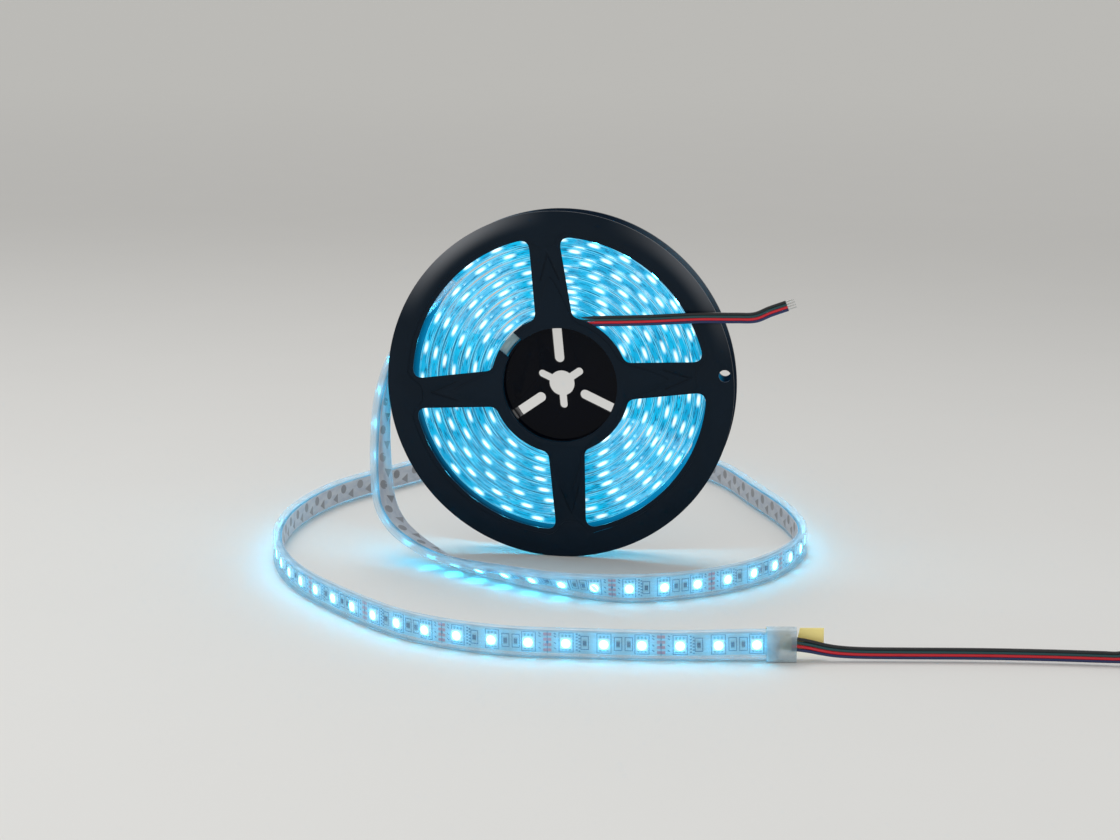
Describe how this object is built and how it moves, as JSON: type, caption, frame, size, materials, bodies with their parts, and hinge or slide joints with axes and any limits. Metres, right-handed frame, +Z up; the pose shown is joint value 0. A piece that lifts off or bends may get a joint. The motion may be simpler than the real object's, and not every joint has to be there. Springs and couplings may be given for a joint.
{
  "type": "led strip light reel",
  "caption": "Moulded flanged reel standing on its rim, wound with a sleeved RGB LED strip whose free end runs round it on the floor to an end cap, a ribbon lead and a connector.",
  "frame": {"origin": "on the floor under the middle of the reel", "axes": "+Z up, +Y along the reel's axis towards its rear flange, -Y towards the front with the inner lead, +X towards the end cap and connector"},
  "size_m": [0.4446, 0.3631, 0.178],
  "materials": {
    "reel": "smooth moulded polystyrene, half matt",
    "sleeve": "clear silicone, lit from inside in cyan",
    "board": "white flexible circuit, lamps lit",
    "liner": "coated release paper",
    "tab": "yellow release paper",
    "cap": "milky translucent silicone",
    "wire_black": "black PVC",
    "wire_green": "dark green PVC",
    "wire_red": "red PVC",
    "wire_blue": "blue PVC",
    "tinned": "tinned copper strands",
    "contact": "gilt contact",
    "housing": "black moulded nylon"
  },
  "bodies": {
    "root": {"front_flange": "reel", "rear_flange": "reel", "hub": "reel", "strip_roll": "sleeve", "inner_end_cap": "cap", "free_sleeve": "sleeve", "free_circuit": "board", "tape_liner": "liner", "liner_tab": "tab", "outer_end_cap": "cap", "outer_lead_black": "wire_black", "outer_lead_green": "wire_green", "outer_lead_red": "wire_red", "outer_lead_blue": "wire_blue", "contact_black": "contact", "contact_green": "contact", "contact_red": "contact", "contact_blue": "contact", "connector_housing": "housing", "inner_lead_black": "wire_black", "inner_lead_green": "wire_green", "inner_lead_red": "wire_red", "inner_lead_blue": "wire_blue", "tinned_tip_black": "tinned", "tinned_tip_green": "tinned", "tinned_tip_red": "tinned", "tinned_tip_blue": "tinned"}
  },
  "joints": []
}
